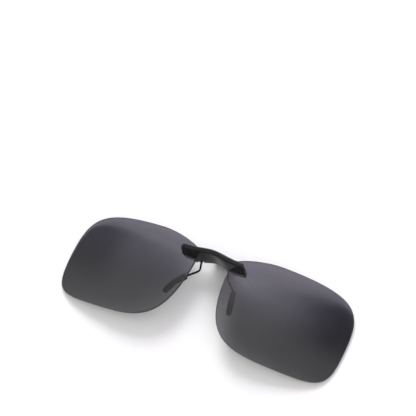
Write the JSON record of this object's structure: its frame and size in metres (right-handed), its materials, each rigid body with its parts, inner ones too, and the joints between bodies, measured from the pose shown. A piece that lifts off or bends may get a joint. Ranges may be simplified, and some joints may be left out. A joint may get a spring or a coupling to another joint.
{
  "type": "clip on sunglasses",
  "caption": "Rimless tinted lenses on a slim black bridge with a sprung two-leg clip, worn over the front of prescription glasses.",
  "frame": {"origin": "middle of the footprint, on the surface that the sunglasses lie on, under the bridge's midline", "axes": "+X across the lenses to the wearer's left, +Y up the lenses, +Z out of the lens fronts, with the sunglasses lying on their back"},
  "size_m": [0.135, 0.0416, 0.0141],
  "materials": {
    "smoke_lens": "polished, smoke grey, see-through",
    "bridge_plastic": "satin black moulding",
    "lever_plastic": "satin black moulding",
    "painted_wire": "semi-gloss black coating",
    "soft_rubber": "matt",
    "screw_steel": "turned and plated",
    "spring_steel": "drawn wire",
    "nylon": "natural, milky"
  },
  "bodies": {
    "frame": {"bridge_bar": "bridge_plastic", "lens_left": "smoke_lens", "clamp_plate_left": "bridge_plastic", "lens_screw_left_inner": "screw_steel", "lens_bush_left_inner": "nylon", "lens_screw_left_outer": "screw_steel", "lens_bush_left_outer": "nylon", "lens_right": "smoke_lens", "clamp_plate_right": "bridge_plastic", "lens_screw_right_inner": "screw_steel", "lens_bush_right_inner": "nylon", "lens_screw_right_outer": "screw_steel", "lens_bush_right_outer": "nylon", "hinge_pin": "screw_steel", "torsion_spring": "spring_steel"},
    "clip": {"clip_rocker": "lever_plastic", "leg_wire_left": "painted_wire", "leg_tip_left": "soft_rubber", "leg_wire_right": "painted_wire", "leg_tip_right": "soft_rubber"}
  },
  "joints": [
    {"name": "clip_hinge", "type": "hinge", "parent": "frame", "child": "clip", "pos_m": [0, 0.0148, 0.00832], "axis": [1, 0, 0], "range_deg": [0, 22], "stiffness_Nm_per_rad": 0.06, "springref_deg": -45.84, "deforming": ["torsion_spring"]}
  ]
}
